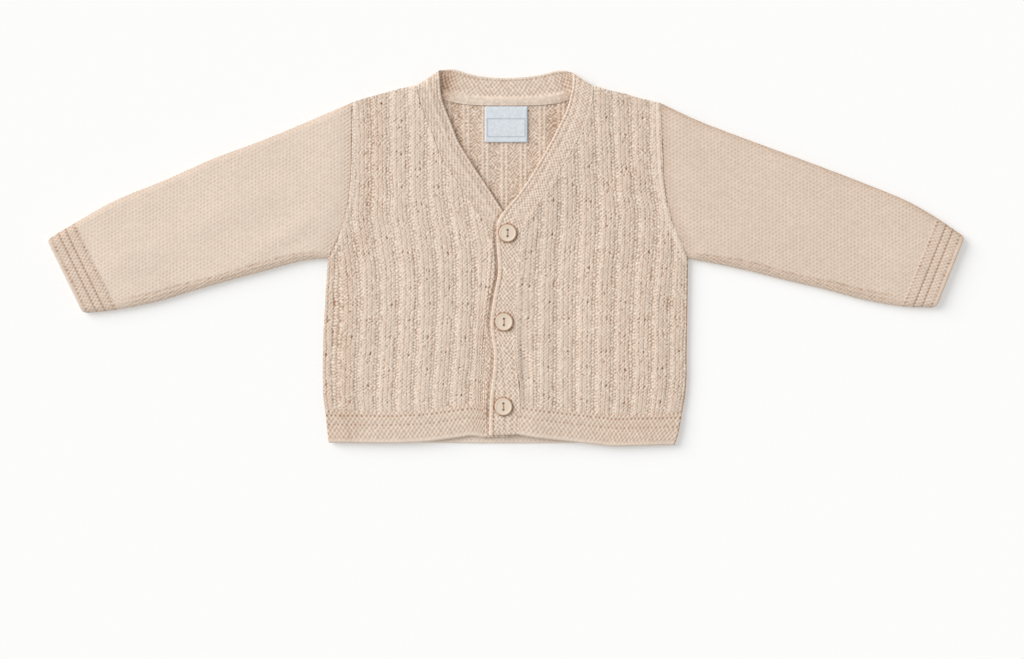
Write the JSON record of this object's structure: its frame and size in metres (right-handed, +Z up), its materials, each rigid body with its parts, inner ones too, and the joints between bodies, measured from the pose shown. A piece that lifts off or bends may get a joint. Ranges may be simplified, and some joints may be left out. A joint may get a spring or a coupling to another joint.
{
  "type": "baby cardigan",
  "caption": "Long-sleeved ribbed knit baby cardigan with a V neck, knitted band, cuffs and hem, buttoned up and laid flat on its back.",
  "frame": {"origin": "centre of the laid-out cardigan's outline, on the surface that it lies on", "axes": "+X towards the wearer's left sleeve, +Y towards the neck, +Z up out of the front"},
  "size_m": [0.6107, 0.251, 0.01],
  "materials": {
    "knit": "matt fine-knit yarn, beige",
    "woven_label": "satin-woven tape, pale blue-grey",
    "button": "satin, moulded, beige"
  },
  "bodies": {
    "root": {"back": "knit", "front_left": "knit", "front_right": "knit", "sleeve_left": "knit", "sleeve_right": "knit", "front_band": "knit", "label": "woven_label", "button_1": "button", "button_2": "button", "button_3": "button"}
  },
  "joints": []
}
